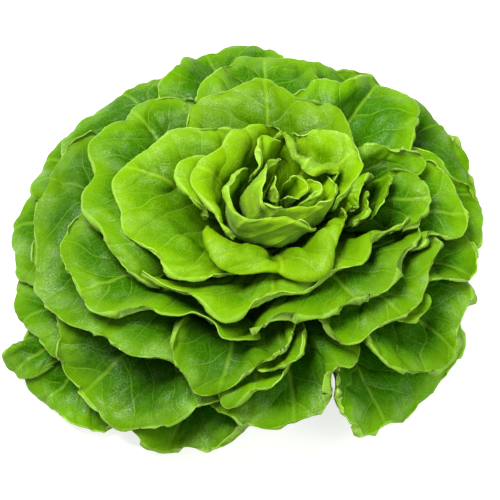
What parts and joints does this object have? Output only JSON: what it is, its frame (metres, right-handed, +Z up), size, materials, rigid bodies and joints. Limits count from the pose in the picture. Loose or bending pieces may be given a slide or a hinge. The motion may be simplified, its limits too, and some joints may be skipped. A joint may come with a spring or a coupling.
{
  "type": "butterhead lettuce",
  "caption": "Open butterhead lettuce: soft rolled leaves in overlapping layers round a pale folded heart, standing on its cut stalk.",
  "frame": {"origin": "centre of the stalk's flat cut face, which is the lowest flat spot that the head stands on", "axes": "+Z up from the cut through the growing point; -Y towards the viewer of the picture, +X to the picture's right"},
  "size_m": [0.2753, 0.2753, 0.1051],
  "materials": {
    "leaf_heart": "satin, bright yellow-green leaf",
    "leaf_middle": "satin, fresh green leaf",
    "leaf_outer": "satin, deeper green leaf",
    "cut_stalk": "moist matte, pale cut stalk"
  },
  "bodies": {
    "root": {"heart_bud": "leaf_heart", "heart_left_fold": "leaf_heart", "heart_right_lobe": "leaf_heart", "heart_ring": "leaf_heart", "heart_hood_left": "leaf_heart", "heart_hood_right": "leaf_heart", "heart_collar": "leaf_heart", "cup_left": "leaf_heart", "cup_right": "leaf_heart", "cup_front": "leaf_heart", "left_inner_small": "leaf_middle", "left_inner_broad": "leaf_middle", "back_arch": "leaf_middle", "right_inner_arch": "leaf_middle", "right_inner_fold": "leaf_middle", "right_cup_edge": "leaf_middle", "front_band": "leaf_middle", "right_cup": "leaf_middle", "right_back_fold": "leaf_middle", "left_crescent": "leaf_middle", "back_right_broad": "leaf_middle", "back_broad": "leaf_middle", "front_right_band": "leaf_middle", "right_broad": "leaf_middle", "left_low_cup": "leaf_middle", "front_right_fold": "leaf_middle", "front_fold": "leaf_outer", "front_curl": "leaf_middle", "left_wrap": "leaf_outer", "front_under_fold": "leaf_outer", "right_low": "leaf_outer", "right_skirt": "leaf_outer", "front_right_curl": "leaf_middle", "front_right_skirt": "leaf_outer", "front_left_skirt": "leaf_outer", "front_skirt": "leaf_outer", "front_right_lowest": "leaf_outer", "back_upper_skirt": "leaf_outer", "back_right_skirt": "leaf_outer", "back_left_skirt": "leaf_outer", "left_back_low": "leaf_outer", "left_skirt": "leaf_outer", "left_front_low": "leaf_outer", "front_lowest": "leaf_outer", "left_low_curl": "leaf_outer", "front_left_lowest": "leaf_outer", "right_back_lower": "leaf_outer", "right_lowest": "leaf_outer", "back_lower": "leaf_outer", "back_right_lowest": "leaf_outer", "back_left_lowest": "leaf_outer", "front_hidden": "leaf_outer", "stalk": "cut_stalk"}
  },
  "joints": []
}
